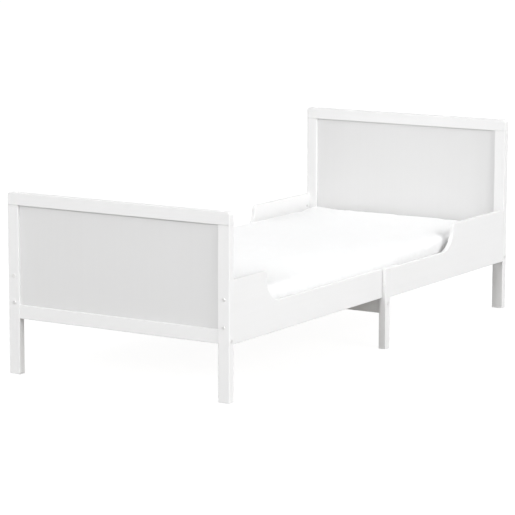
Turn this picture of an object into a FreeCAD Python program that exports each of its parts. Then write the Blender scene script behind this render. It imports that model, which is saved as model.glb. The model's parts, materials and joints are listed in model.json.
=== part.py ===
import FreeCAD, Part
import os
import re

import Sketcher

# An extendable children's bed. Frame: +Z up, X across, Y along. The head is at +Y, the foot at -Y, and the
# origin is on the floor under the middle of the bed at full length. All sizes are millimetres.

os.makedirs("parts", exist_ok=True)
doc = FreeCAD.newDocument("ExtendableBed")

# ------------------------------------------------------------------ driving dimensions

DIMENSIONS = {
    "bed_width": 910,
    "bed_length": 2060,
    # posts and end frames
    "post_width": 45,
    "post_depth": 28,
    "foot_height": 640,
    "head_height": 756,
    "top_rail_height": 44,
    "rail_corner_radius": 11,
    "lower_rail_bottom": 198,
    "lower_rail_height": 48,
    "lower_rail_depth": 22,
    "panel_thickness": 10,
    "panel_tongue": 5,
    "panel_play": 0.2,
    "edge_radius": 2,
    # side boards
    "board_thickness": 15,
    "board_gap": 1,
    "board_bottom": 190,
    "board_low_top": 297,
    "foot_guard_top": 409,
    "head_guard_top": 398,
    "guard_sweep_radius": 84,
    "guard_corner_radius": 16,
    "foot_guard_length": 234,
    "head_guard_length": 434,
    "board_end_radius": 12,
    # middle legs and the beam between them
    "leg_width": 28,
    "leg_depth": 33,
    "leg_front": 36,
    "leg_shoulder_play": 0.5,
    "beam_bottom": 132,
    "beam_height": 54,
    "beam_thickness": 23,
    "board_overlap": 130,
    # slatted base
    "ledge_width": 20,
    "ledge_height": 24,
    "slat_seat": 228,
    "bearer_inner": 372,
    "bearer_width": 24,
    "slat_length": 844,
    "slat_width": 70,
    "slat_thickness": 12,
    "slat_play": 0.3,
    "slat_end_centre": 940,
    "strap_offset": 250,
    "strap_width": 25,
    "strap_thickness": 1.5,
    "strap_overhang": 20,
    # mattress and its sheet
    "mattress_width": 838,
    "mattress_length": 1990,
    "mattress_bottom": 242,
    "mattress_height": 104,
    "mattress_corner": 30,
    "sheet_play": 0.4,
    "sheet_thickness": 1.2,
    "sheet_turn_under": 110,
    # fasteners
    "bolt_diameter": 6,
    "bolt_head_diameter": 14,
    "bolt_head_height": 1.6,
    "bolt_socket": 4,
    "bolt_socket_depth": 1.2,
    "bolt_hole": 6.6,
    "bolt_high": 348,
    "bolt_low": 254,
    "leg_bolt_level": 240,
    "beam_bolt_level": 170,
    "rail_bolt_level": 208,
    "rail_dowel_rise": 24,
    "beam_dowel_drop": 22,
    "bearer_bolt_level": 221,
    "top_bolt_inset": 34,
    "nut_diameter": 10,
    "nut_hole": 10.2,
    "nut_length": 12,
    "nut_setback": 22,
    "bolt_beyond_nut": 8,
    "tip_play": 1,
    "dowel_diameter": 8,
    "dowel_hole": 8.2,
    "dowel_length": 30,
    "dowel_sink": 15.5,
    "top_dowel_spacing": 18,
    "leg_dowel_spacing": 30,
    "nut_hole_depth": 20,
    "rail_nut_depth": 17,
    "bearer_nut_depth": 18,
    "ledge_set_in": 8,
    "ledge_screw_start": 900,
    "ledge_screw_pitch": 250,
    "screw_sink": 11,
    "slat_screw_sink": 16,
    "bearer_screw_sink": 25,
    "bearer_screw_recess": 0.4,
    "screw_diameter": 4,
    "screw_hole": 4.2,
    "screw_head_diameter": 8,
    "screw_head_height": 2.4,
    "screw_head_play": 0.4,
    "screw_head_room": 0.2,
}

sheet = doc.addObject("Spreadsheet::Sheet", "Dims")
for row, (alias, number) in enumerate(DIMENSIONS.items(), start=1):
    sheet.set(f"A{row}", alias)
    sheet.set(f"B{row}", str(number))
    sheet.setAlias(f"B{row}", alias)
doc.recompute()


def cells(formula):
    """The formula with every dimension's name turned into its cell of the sheet."""
    return re.sub(r"[a-z]\w*", lambda word: "Dims." + word.group(), formula)


def value(formula):
    """What the formula comes to now, in millimetres."""
    return float(sheet.evalExpression(cells(formula)))


# Lines and faces that several parts share, as formulas of the dimensions.
HALF_WIDTH = "bed_width / 2"
HALF_LENGTH = "bed_length / 2"
POST_INNER = "(bed_width / 2 - post_width)"
OUTER_BOARD = "(bed_width / 2 - board_thickness)"
INNER_BOARD = "(bed_width / 2 - 2 * board_thickness - board_gap)"
POST_FACE = "(bed_length / 2 - post_depth)"
POST_MIDDLE = "(bed_length / 2 - post_depth / 2)"
RAIL_TOP = "(lower_rail_bottom + lower_rail_height)"
LEG_BACK = "(leg_front + leg_depth)"
LEG_MIDDLE = "(leg_front + leg_depth / 2)"
LEG_INNER = "(bed_width / 2 - leg_width)"
LEDGE_INNER = "(bed_width / 2 - 2 * board_thickness - board_gap - ledge_width)"
BEARER_MIDDLE = "(bearer_inner + bearer_width / 2)"
RAIL_FACE = "(bed_length / 2 - post_depth / 2 - lower_rail_depth / 2)"
RAIL_BACK = "(bed_length / 2 - post_depth / 2 + lower_rail_depth / 2)"
SLAT_BOTTOM = "(slat_seat + slat_play)"
SLAT_TOP = "(slat_seat + slat_play + slat_thickness)"
TOP_BOLT_X = "(bed_width / 2 - top_bolt_inset)"
GROOVE_HALF = "((panel_thickness + panel_play) / 2)"
BOLT_DEPTH = "(nut_setback + bolt_beyond_nut)"
RAIL_DOWEL_LEVEL = "(rail_bolt_level + rail_dowel_rise)"
BEAM_DOWEL_LEVEL = "(beam_bolt_level - beam_dowel_drop)"
SCREW_HEAD_HOLE = "(screw_head_diameter + screw_head_play)"
SCREW_HEAD_SINK = "(screw_head_height + screw_head_room)"
# How deep a barrel nut's hole goes in a board, so that the nut lies across the board's middle.
BOARD_NUT_DEPTH = "((board_thickness + nut_length) / 2)"

SIDES = {"left": -1, "right": 1}
ENDS = {"foot": -1, "head": 1}
SLAT_COUNT = 16
LEDGE_SCREW_COUNT = 5

# ------------------------------------------------------------------ building blocks

ORIGIN_PLANE = {"X": "YZ_Plane", "Y": "XZ_Plane", "Z": "XY_Plane"}
IN_PLANE = {"X": (1, 2), "Y": (0, 2), "Z": (0, 1)}
parts = {}
corners = {}


def between(side, inner, outer):
    """The low X corner of a piece that lies from inner to outer on that side."""
    return f"({inner})" if side > 0 else f"-({outer})"


def new_body(label, corner):
    """An empty body whose own origin stands at the given corner of the bed's frame."""
    body = doc.addObject("PartDesign::Body", label)
    body.Label = label
    for axis, formula in zip("xyz", corner):
        body.setExpression(f"Placement.Base.{axis}", cells(formula))
    parts[label] = body
    corners[label] = corner
    return body


def sketch_across(body, axis, start):
    """A sketch in the plane square to the axis, at start along it, in the body's own frame."""
    sketch = body.newObject("Sketcher::SketchObject", f"{body.Name}_Sketch")
    plane = next(f for f in body.Origin.OriginFeatures if f.Role == ORIGIN_PLANE[axis])
    sketch.AttachmentSupport = [(plane, "")]
    sketch.MapMode = "FlatFace"
    lift = f"-({start})" if axis == "Y" else start
    sketch.setExpression("AttachmentOffset.Base.z", cells(lift))
    return sketch


def pin_down(sketch, kind, geometry, point, formula):
    """Ties one point of a sketch to a formula, measured from the sketch's origin."""
    constraint = Sketcher.Constraint(kind, -1, 1, geometry, point, value(formula))
    index = sketch.addConstraint(constraint)
    sketch.setExpression(f"Constraints[{index}]", cells(formula))


def draw_outline(sketch, points):
    """A closed outline of straight lines through the points, each a pair of formulas."""
    vectors = [FreeCAD.Vector(value(u), value(v), 0) for u, v in points]
    first = sketch.GeometryCount
    count = len(points)
    for i in range(count):
        sketch.addGeometry(Part.LineSegment(vectors[i], vectors[(i + 1) % count]), False)
    for i, (u, v) in enumerate(points):
        follower = first + (i + 1) % count
        sketch.addConstraint(Sketcher.Constraint("Coincident", first + i, 2, follower, 1))
        pin_down(sketch, "DistanceX", first + i, 1, u)
        pin_down(sketch, "DistanceY", first + i, 1, v)


def draw_circle(sketch, u, v, diameter):
    """A circle whose centre and diameter are formulas."""
    centre = FreeCAD.Vector(value(u), value(v), 0)
    up = FreeCAD.Vector(0, 0, 1)
    index = sketch.addGeometry(Part.Circle(centre, up, value(diameter) / 2), False)
    pin_down(sketch, "DistanceX", index, 3, u)
    pin_down(sketch, "DistanceY", index, 3, v)
    limit = sketch.addConstraint(Sketcher.Constraint("Diameter", index, value(diameter)))
    sketch.setExpression(f"Constraints[{limit}]", cells(diameter))


def pad(body, axis, points, thickness):
    """The body's first solid: an outline square to the axis, thickened along +axis."""
    sketch = sketch_across(body, axis, "0")
    draw_outline(sketch, points)
    feature = body.newObject("PartDesign::Pad", f"{body.Name}_Pad")
    feature.Profile = sketch
    feature.setExpression("Length", cells(thickness))
    feature.Reversed = axis == "Y"
    doc.recompute()


def rectangle(low, high):
    """The corners of a rectangle from its low and high corners."""
    return [(low[0], low[1]), (high[0], low[1]), (high[0], high[1]), (low[0], high[1])]


def box(label, corner, size):
    """A plain rectangular piece."""
    body = new_body(label, corner)
    pad(body, "Z", rectangle(("0", "0"), (size[0], size[1])), size[2])
    return body


def runs_along(axis):
    """A test for straight edges that run along one axis."""
    unit = FreeCAD.Vector(*[float(axis == name) for name in "XYZ"])

    def test(edge):
        straight = isinstance(edge.Curve, (Part.Line, Part.LineSegment))
        return straight and abs(edge.tangentAt(edge.FirstParameter).dot(unit)) > 0.999

    return test


def runs_near(axis, *points):
    """A test for straight edges along one axis that pass through the points of the body's frame."""
    along = runs_along(axis)
    skipped = "XYZ".index(axis)
    wanted = [[value(formula) for formula in point] for point in points]

    def test(edge):
        if not along(edge):
            return False
        middle = list(edge.CenterOfMass)
        del middle[skipped]
        return any(abs(middle[0] - u) + abs(middle[1] - v) < 0.01 for u, v in wanted)

    return test


def lies_in_faces(axis):
    """A test for edges that lie in the two outermost planes square to one axis."""
    index = "XYZ".index(axis)

    def test(edge, box_low, box_high):
        ends = [vertex.Point[index] for vertex in edge.Vertexes]
        return any(all(abs(end - face) < 0.01 for end in ends) for face in (box_low, box_high))

    return test


def soften(body, radius, test):
    """Rounds the edges of the body's present shape that pass the test."""
    base = body.Tip
    names = [f"Edge{i}" for i, edge in enumerate(base.Shape.Edges, start=1) if test(edge)]
    feature = body.newObject("PartDesign::Fillet", f"{body.Name}_Round")
    feature.Base = (base, names)
    feature.setExpression("Radius", cells(radius))
    doc.recompute()


def soften_outline(body, axis, radius):
    """Rounds every edge of the two broad faces that are square to the axis."""
    bounds = body.Tip.Shape.BoundBox
    low, high = {"X": (bounds.XMin, bounds.XMax), "Y": (bounds.YMin, bounds.YMax)}[axis]
    in_faces = lies_in_faces(axis)
    soften(body, radius, lambda edge: in_faces(edge, low, high))


def cut(body, axis, start, shapes, depth):
    """Cuts circles (u, v, diameter) or rectangles (low, high) out of the body.

    Positions are formulas in the bed's frame. The cut begins at start along the axis and runs for depth,
    which is negative to cut towards -axis.
    """
    corner = corners[body.Label]
    u_index, v_index = IN_PLANE[axis]
    before = body.Tip.Shape.Volume
    sketch = sketch_across(body, axis, f"({start}) - ({corner['XYZ'.index(axis)]})")
    for shape in shapes:
        if len(shape) == 3:
            u, v, diameter = shape
            draw_circle(sketch, f"({u}) - ({corner[u_index]})", f"({v}) - ({corner[v_index]})", diameter)
        else:
            local = [[f"({p[0]}) - ({corner[u_index]})", f"({p[1]}) - ({corner[v_index]})"] for p in shape]
            draw_outline(sketch, rectangle(*local))
    feature = body.newObject("PartDesign::Pocket", f"{body.Name}_Pocket")
    feature.Profile = sketch
    upward = value(depth) > 0
    feature.setExpression("Length", cells(depth if upward else f"-({depth})"))
    feature.Reversed = upward != (axis == "Y")
    doc.recompute()
    if body.Tip.Shape.Volume > before - 0.5:
        raise RuntimeError(f"a cut in {body.Label} removes nothing")


# ------------------------------------------------------------------ fasteners

hardware = {}
DIRECTION = {
    "+X": FreeCAD.Vector(1, 0, 0),
    "-X": FreeCAD.Vector(-1, 0, 0),
    "+Y": FreeCAD.Vector(0, 1, 0),
    "-Y": FreeCAD.Vector(0, -1, 0),
    "+Z": FreeCAD.Vector(0, 0, 1),
    "-Z": FreeCAD.Vector(0, 0, -1),
}


def stand(piece, at, outward):
    """Puts a fastener made along its own Z at a place, with its +Z turned outward."""
    turn = FreeCAD.Rotation(FreeCAD.Vector(0, 0, 1), DIRECTION[outward])
    piece.Placement = FreeCAD.Placement(FreeCAD.Vector(), turn)
    for axis, formula in zip("xyz", at):
        piece.setExpression(f"Placement.Base.{axis}", cells(formula))


def cylinder(diameter, height, base="0"):
    """A cylinder on its own Z axis, from base upward."""
    piece = doc.addObject("Part::Cylinder", "Rod")
    piece.setExpression("Radius", cells(f"({diameter}) / 2"))
    piece.setExpression("Height", cells(height))
    piece.setExpression("Placement.Base.z", cells(base))
    return piece


def fuse(first, second):
    piece = doc.addObject("Part::Fuse", "Joined")
    piece.Base = first
    piece.Tool = second
    return piece


def subtract(first, second):
    piece = doc.addObject("Part::Cut", "Hollowed")
    piece.Base = first
    piece.Tool = second
    return piece


def add_bolt(group, at, outward, length):
    """A low-headed bolt with a hexagon socket. Its head rests on the surface at the given place."""
    head = doc.addObject("Part::Cone", "Head")
    head.setExpression("Radius1", cells("bolt_head_diameter / 2"))
    head.setExpression("Radius2", cells("bolt_head_diameter / 2 - bolt_head_height / 2"))
    head.setExpression("Height", cells("bolt_head_height"))
    shank = cylinder("bolt_diameter", f"{length} + bolt_head_height / 2", f"-({length})")
    socket = doc.addObject("Part::Prism", "Socket")
    socket.Polygon = 6
    socket.setExpression("Circumradius", cells("bolt_socket / 1.732"))
    socket.setExpression("Height", cells("bolt_socket_depth * 2"))
    socket.setExpression("Placement.Base.z", cells("bolt_head_height - bolt_socket_depth"))
    bolt = subtract(fuse(head, shank), socket)
    stand(bolt, at, outward)
    hardware.setdefault(group, []).append(bolt)


def add_nut(group, at, outward, crossing):
    """A barrel nut centred at the given place, with its cross hole along the crossing axis."""
    barrel = cylinder("nut_diameter", "nut_length", "-nut_length / 2")
    thread = cylinder("bolt_diameter + 0.2", "nut_diameter * 2", "0")
    thread.Placement = FreeCAD.Placement(
        FreeCAD.Vector(-value("nut_diameter"), 0, 0),
        FreeCAD.Rotation(FreeCAD.Vector(0, 1, 0), 90),
    )
    thread.setExpression("Placement.Base.x", cells("-nut_diameter"))
    nut = subtract(barrel, thread)
    stand(nut, at, outward)
    own_x = nut.Placement.Rotation.multVec(FreeCAD.Vector(1, 0, 0))
    if abs(own_x.dot(DIRECTION[crossing])) < 0.5:
        nut.Placement.Rotation = nut.Placement.Rotation * FreeCAD.Rotation(FreeCAD.Vector(0, 0, 1), 90)
    hardware.setdefault(group, []).append(nut)


def add_dowel(group, at, outward):
    """A wooden dowel from the given place, in the outward direction."""
    dowel = cylinder("dowel_diameter", "dowel_length")
    stand(dowel, at, outward)
    hardware.setdefault(group, []).append(dowel)


def add_screw(group, at, outward, length):
    """A countersunk screw whose head is flush with the surface at the given place."""
    head = doc.addObject("Part::Cone", "Head")
    head.setExpression("Radius1", cells("screw_diameter / 2"))
    head.setExpression("Radius2", cells("screw_head_diameter / 2"))
    head.setExpression("Height", cells("screw_head_height"))
    head.setExpression("Placement.Base.z", cells("-screw_head_height"))
    screw = fuse(head, cylinder("screw_diameter", length, f"-({length})"))
    stand(screw, at, outward)
    hardware.setdefault(group, []).append(screw)


# ------------------------------------------------------------------ end frames: footboard and headboard


def signed(end, formula):
    """A Y coordinate at that end of the bed: negative at the foot, positive at the head."""
    return f"{end} * {formula}"


def low_y(end, inner, outer):
    """The low Y corner of a piece that lies from inner to outer at that end."""
    return f"({inner})" if end > 0 else f"-({outer})"


def make_post(where, end, name, side):
    """A post with its panel groove and the holes for the side board, both rails and their dowels."""
    top = f"({where}_height - top_rail_height)"
    post = box(
        f"{where}_post_{name}",
        (between(side, POST_INNER, HALF_WIDTH), low_y(end, POST_FACE, HALF_LENGTH), "0"),
        ("post_width", "post_depth", top),
    )
    soften(post, "edge_radius", runs_along("Z"))
    inner_face = f"{side} * {POST_INNER}"
    middle = signed(end, POST_MIDDLE)
    outer_face = signed(end, HALF_LENGTH)
    board = OUTER_BOARD if where == "head" else INNER_BOARD
    board_x = f"{side} * ({board} + board_thickness / 2)"
    inward = f"-{side} * "
    # panel groove, from the top of the post down to below the lower rail's top
    groove_end = f"({RAIL_TOP} - panel_tongue)"
    groove_low = (f"{middle} - {GROOVE_HALF}", groove_end)
    groove_high = (f"{middle} + {GROOVE_HALF}", f"{top} + 1")
    cut(post, "X", inner_face, [(groove_low, groove_high)], f"{side} * panel_tongue")
    # side board bolts, right through from the outer face
    levels = ("bolt_high", "bolt_low")
    bolts = [(board_x, level, "bolt_hole") for level in levels]
    cut(post, "Y", outer_face, bolts, f"-{end} * post_depth")
    for level in levels:
        outward = "+Y" if end > 0 else "-Y"
        length = f"(post_depth + {BOLT_DEPTH} - tip_play)"
        add_bolt(f"{where}_corner_bolts", (board_x, outer_face, level), outward, length)
    # lower rail bolt, right through from the outer side, and its dowel
    side_face = f"{side} * {HALF_WIDTH}"
    cut(post, "X", side_face, [(middle, "rail_bolt_level", "bolt_hole")], f"{inward}post_width")
    outward = "+X" if side > 0 else "-X"
    length = f"(post_width + {BOLT_DEPTH} - tip_play)"
    add_bolt(f"{where}_rail_bolts", (side_face, middle, "rail_bolt_level"), outward, length)
    cut(post, "X", inner_face, [(middle, RAIL_DOWEL_LEVEL, "dowel_hole")], f"{side} * dowel_sink")
    dowel_root = f"{side} * ({POST_INNER} + dowel_length / 2)"
    inward_name = "-X" if side > 0 else "+X"
    add_dowel(f"{where}_dowels", (dowel_root, middle, RAIL_DOWEL_LEVEL), inward_name)
    # top rail bolt with its barrel nut, and the dowel beside it
    bolt_x = f"{side} * {TOP_BOLT_X}"
    dowel_x = f"{side} * ({TOP_BOLT_X} + top_dowel_spacing)"
    cut(post, "Z", top, [(bolt_x, middle, "bolt_hole")], f"-{BOLT_DEPTH}")
    cut(post, "Z", top, [(dowel_x, middle, "dowel_hole")], "-dowel_sink")
    # at both ends of the bed the nut goes in from the post's +Y face
    nut_side = HALF_LENGTH if end > 0 else f"-{POST_FACE}"
    nut_level = f"({top} - nut_setback)"
    cut(post, "Y", nut_side, [(bolt_x, nut_level, "nut_hole")], "-nut_hole_depth")
    nut_y = f"({nut_side} - nut_hole_depth + nut_length / 2)"
    add_nut(f"{where}_barrel_nuts", (bolt_x, nut_y, nut_level), "+Y", "+Z")
    length = f"(top_rail_height + {BOLT_DEPTH} - tip_play)"
    add_bolt(f"{where}_rail_bolts", (bolt_x, middle, f"{where}_height"), "+Z", length)
    add_dowel(f"{where}_dowels", (dowel_x, middle, f"({top} - dowel_length / 2)"), "+Z")


def make_top_rail(where, end):
    """The rail on top of the posts, with rounded upper corners and a stopped groove for the panel."""
    bottom = f"({where}_height - top_rail_height)"
    rail = box(
        f"{where}_top_rail",
        (f"-{HALF_WIDTH}", low_y(end, POST_FACE, HALF_LENGTH), bottom),
        ("bed_width", "post_depth", "top_rail_height"),
    )
    upper_corners = runs_near("Y", ("0", "top_rail_height"), ("bed_width", "top_rail_height"))
    soften(rail, "rail_corner_radius", upper_corners)
    soften_outline(rail, "Y", "edge_radius")
    middle = signed(end, POST_MIDDLE)
    groove_low = (f"-({POST_INNER} + panel_tongue)", f"{middle} - {GROOVE_HALF}")
    groove_high = (f"({POST_INNER} + panel_tongue)", f"{middle} + {GROOVE_HALF}")
    cut(rail, "Z", bottom, [(groove_low, groove_high)], "panel_tongue")
    bolts = [(f"{side} * {TOP_BOLT_X}", middle, "bolt_hole") for side in SIDES.values()]
    cut(rail, "Z", bottom, bolts, "top_rail_height")
    dowel_inset = f"({TOP_BOLT_X} + top_dowel_spacing)"
    dowels = [(f"{side} * {dowel_inset}", middle, "dowel_hole") for side in SIDES.values()]
    cut(rail, "Z", bottom, dowels, "dowel_sink")


def make_lower_rail(where, end):
    """The rail between the posts, with the groove that holds the panel's bottom edge."""
    rail = box(
        f"{where}_lower_rail",
        (f"-{POST_INNER}", low_y(end, RAIL_FACE, RAIL_BACK), "lower_rail_bottom"),
        (f"2 * {POST_INNER}", "lower_rail_depth", "lower_rail_height"),
    )
    soften(rail, "edge_radius", runs_along("X"))
    middle = signed(end, POST_MIDDLE)
    groove_low = (f"-{POST_INNER} - 1", f"{middle} - {GROOVE_HALF}")
    groove_high = (f"{POST_INNER} + 1", f"{middle} + {GROOVE_HALF}")
    cut(rail, "Z", RAIL_TOP, [(groove_low, groove_high)], "-panel_tongue")
    for side in SIDES.values():
        end_face = f"{side} * {POST_INNER}"
        cut(rail, "X", end_face, [(middle, "rail_bolt_level", "bolt_hole")], f"-{side} * {BOLT_DEPTH}")
        cut(rail, "X", end_face, [(middle, RAIL_DOWEL_LEVEL, "dowel_hole")], f"-{side} * dowel_sink")
        nut_x = f"{side} * ({POST_INNER} - nut_setback)"
        rail_face = signed(end, RAIL_FACE)
        cut(rail, "Y", rail_face, [(nut_x, "rail_bolt_level", "nut_hole")], f"{end} * rail_nut_depth")
        nut_y = signed(end, f"({RAIL_FACE} + rail_nut_depth - nut_length / 2)")
        add_nut(f"{where}_barrel_nuts", (nut_x, nut_y, "rail_bolt_level"), "+Y", "+X")
    if where == "head":
        bolts = [(f"{side} * {BEARER_MIDDLE}", "bearer_bolt_level", "bolt_hole") for side in SIDES.values()]
        cut(rail, "Y", RAIL_BACK, bolts, "-lower_rail_depth")


def make_panel(where, end):
    """The flat panel that sits in the grooves of the frame."""
    half_panel = f"({POST_INNER} + panel_tongue - panel_play)"
    low = f"({RAIL_TOP} - panel_tongue + panel_play)"
    high = f"({where}_height - top_rail_height + panel_tongue - panel_play)"
    middle = signed(end, POST_MIDDLE)
    box(
        f"{where}_panel",
        (f"-{half_panel}", f"{middle} - panel_thickness / 2", low),
        (f"2 * {half_panel}", "panel_thickness", f"{high} - {low}"),
    )


# ------------------------------------------------------------------ side boards, ledges and bearers


def drill_corner(board, where, end, side, board_x, board_face):
    """Bolt holes in a side board's end at the post, and the barrel nuts in its inner face."""
    post_face = signed(end, POST_FACE)
    levels = ("bolt_high", "bolt_low")
    bolts = [(board_x, level, "bolt_hole") for level in levels]
    cut(board, "Y", post_face, bolts, f"-{end} * {BOLT_DEPTH}")
    nut_y = signed(end, f"({POST_FACE} - nut_setback)")
    nuts = [(nut_y, level, "nut_hole") for level in levels]
    cut(board, "X", board_face, nuts, f"{side} * {BOARD_NUT_DEPTH}")
    for level in levels:
        add_nut(f"{where}_barrel_nuts", (board_x, nut_y, level), "+X", "+Y")


def make_side_board(where, end, name, side, free_end, inner):
    """A side board: low along the bed, with a guard that sweeps up at the end frame."""
    length = f"({POST_FACE} - {free_end})"
    low_x = between(side, inner, f"{inner} + board_thickness")
    board = new_body(
        f"{where}_side_board_{name}",
        (low_x, low_y(end, free_end, POST_FACE), "board_bottom"),
    )
    low_top = "(board_low_top - board_bottom)"
    high_top = f"({where}_guard_top - board_bottom)"
    guard = f"{where}_guard_length"
    step = f"({length} - {guard})" if end > 0 else guard
    near_top, far_top = (low_top, high_top) if end > 0 else (high_top, low_top)
    base = [("0", "0"), (length, "0")]
    guard_edge = [(length, far_top), (step, far_top), (step, near_top), ("0", near_top)]
    pad(board, "X", base + guard_edge, "board_thickness")
    soften(board, "guard_sweep_radius", runs_near("X", (step, low_top)))
    soften(board, "guard_corner_radius", runs_near("X", (step, high_top)))
    if end < 0:
        soften(board, "board_end_radius", runs_near("X", (length, "0"), (length, low_top)))
    soften_outline(board, "X", "edge_radius")
    board_x = f"{side} * ({inner} + board_thickness / 2)"
    board_face = f"{side} * {inner}"
    drill_corner(board, where, end, side, board_x, board_face)
    return board, board_x, board_face


def make_foot_side(name, side):
    """The sliding inner board and the ledge that carries the slats along it."""
    free_end = "(-leg_front - board_overlap)"
    board, board_x, board_face = make_side_board("foot", -1, name, side, free_end, INNER_BOARD)
    ledge_length = f"({POST_FACE} + leg_front + board_overlap - ledge_set_in)"
    ledge_bottom = "(slat_seat - ledge_height)"
    ledge = box(
        f"foot_slat_ledge_{name}",
        (between(side, LEDGE_INNER, INNER_BOARD), f"-{POST_FACE} + ledge_set_in / 2", ledge_bottom),
        ("ledge_width", ledge_length, "ledge_height"),
    )
    soften(ledge, "edge_radius", runs_along("Y"))
    level = "(slat_seat - ledge_height / 2)"
    spots = [f"(-ledge_screw_start + {i} * ledge_screw_pitch)" for i in range(LEDGE_SCREW_COUNT)]
    holes = [(spot, level, "screw_hole") for spot in spots]
    heads = [(spot, level, SCREW_HEAD_HOLE) for spot in spots]
    ledge_face = f"{side} * {LEDGE_INNER}"
    cut(ledge, "X", ledge_face, holes, f"{side} * ledge_width")
    cut(ledge, "X", ledge_face, heads, f"{side} * {SCREW_HEAD_SINK}")
    cut(board, "X", board_face, holes, f"{side} * screw_sink")
    outward = "-X" if side > 0 else "+X"
    screw_length = "(ledge_width + screw_sink - tip_play)"
    for spot in spots:
        add_screw("foot_ledge_screws", (ledge_face, spot, level), outward, screw_length)
    screw_x = f"{side} * ({LEDGE_INNER} + ledge_width / 2)"
    screw_y = "-slat_end_centre"
    cut(ledge, "Z", "slat_seat", [(screw_x, screw_y, "screw_hole")], "-slat_screw_sink")
    add_slat_screw("foot_slat_screws", screw_x, screw_y)


def add_slat_screw(group, x, y):
    """A screw down through an end slat into the wood that carries it."""
    add_screw(group, (x, y, SLAT_TOP), "+Z", "(slat_thickness + slat_play + slat_screw_sink - tip_play)")


def make_head_side(name, side):
    """The fixed outer board, the middle leg at its free end and the slat bearer inboard of both."""
    board, board_x, board_face = make_side_board("head", 1, name, side, LEG_BACK, OUTER_BOARD)
    cut(board, "Y", LEG_BACK, [(board_x, "leg_bolt_level", "bolt_hole")], BOLT_DEPTH)
    nut_y = f"({LEG_BACK} + nut_setback)"
    nut_depth = f"{side} * {BOARD_NUT_DEPTH}"
    cut(board, "X", board_face, [(nut_y, "leg_bolt_level", "nut_hole")], nut_depth)
    add_nut("head_barrel_nuts", (board_x, nut_y, "leg_bolt_level"), "+X", "+Y")
    dowel_levels = ("leg_bolt_level - leg_dowel_spacing", "leg_bolt_level + leg_dowel_spacing")
    dowels = [(board_x, level, "dowel_hole") for level in dowel_levels]
    cut(board, "Y", LEG_BACK, dowels, "dowel_sink")
    leg = make_middle_leg(name, side)
    cut(leg, "Y", LEG_BACK, dowels, "-dowel_sink")
    cut(leg, "Y", "leg_front", [(board_x, "leg_bolt_level", "bolt_hole")], "leg_depth")
    length = f"(leg_depth + {BOLT_DEPTH} - tip_play)"
    add_bolt("mid_leg_bolts", (board_x, "leg_front", "leg_bolt_level"), "-Y", length)
    for level in dowel_levels:
        add_dowel("head_dowels", (board_x, f"({LEG_BACK} - dowel_length / 2)", level), "+Y")
    make_bearer(name, side)


def make_middle_leg(name, side):
    """The middle leg: full width up to the shoulder, then a tongue beside the sliding board."""
    leg = new_body(f"mid_leg_{name}", (between(side, LEG_INNER, HALF_WIDTH), "leg_front", "0"))
    shoulder = "(board_bottom - leg_shoulder_play)"
    tongue_x = "(leg_width - board_thickness)" if side > 0 else "board_thickness"
    outer_x, inner_x = ("leg_width", "0") if side > 0 else ("0", "leg_width")
    foot = [(inner_x, "0"), (outer_x, "0")]
    tongue = [(outer_x, "board_low_top"), (tongue_x, "board_low_top"), (tongue_x, shoulder)]
    pad(leg, "Y", foot + tongue + [(inner_x, shoulder)], "leg_depth")
    soften(leg, "edge_radius", runs_along("Z"))
    side_face = f"{side} * {HALF_WIDTH}"
    bolt = (LEG_MIDDLE, "beam_bolt_level", "bolt_hole")
    cut(leg, "X", side_face, [bolt], f"-{side} * leg_width")
    dowel = (LEG_MIDDLE, BEAM_DOWEL_LEVEL, "dowel_hole")
    cut(leg, "X", f"{side} * {LEG_INNER}", [dowel], f"{side} * dowel_sink")
    outward = "+X" if side > 0 else "-X"
    length = f"(leg_width + {BOLT_DEPTH} - tip_play)"
    add_bolt("mid_leg_bolts", (side_face, LEG_MIDDLE, "beam_bolt_level"), outward, length)
    inward = "-X" if side > 0 else "+X"
    root = f"{side} * ({LEG_INNER} + dowel_length / 2)"
    add_dowel("head_dowels", (root, LEG_MIDDLE, BEAM_DOWEL_LEVEL), inward)
    return leg


def make_crossbeam():
    """The beam between the two middle legs, under the sliding boards."""
    face = f"({LEG_MIDDLE} - beam_thickness / 2)"
    beam = box(
        "mid_crossbeam",
        (f"-{LEG_INNER}", face, "beam_bottom"),
        (f"2 * {LEG_INNER}", "beam_thickness", "beam_height"),
    )
    soften(beam, "edge_radius", runs_along("X"))
    for side in SIDES.values():
        end_face = f"{side} * {LEG_INNER}"
        bolt = (LEG_MIDDLE, "beam_bolt_level", "bolt_hole")
        cut(beam, "X", end_face, [bolt], f"-{side} * {BOLT_DEPTH}")
        dowel = (LEG_MIDDLE, BEAM_DOWEL_LEVEL, "dowel_hole")
        cut(beam, "X", end_face, [dowel], f"-{side} * dowel_sink")
        nut_x = f"{side} * ({LEG_INNER} - nut_setback)"
        back = f"({LEG_MIDDLE} + beam_thickness / 2)"
        nut_depth = "-(beam_thickness + nut_length) / 2"
        cut(beam, "Y", back, [(nut_x, "beam_bolt_level", "nut_hole")], nut_depth)
        add_nut("head_barrel_nuts", (nut_x, LEG_MIDDLE, "beam_bolt_level"), "+Y", "+X")
        screw_x = f"{side} * {BEARER_MIDDLE}"
        screw_hole = (screw_x, LEG_MIDDLE, "screw_hole")
        cut(beam, "Z", "(beam_bottom + beam_height)", [screw_hole], "-bearer_screw_sink")


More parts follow.
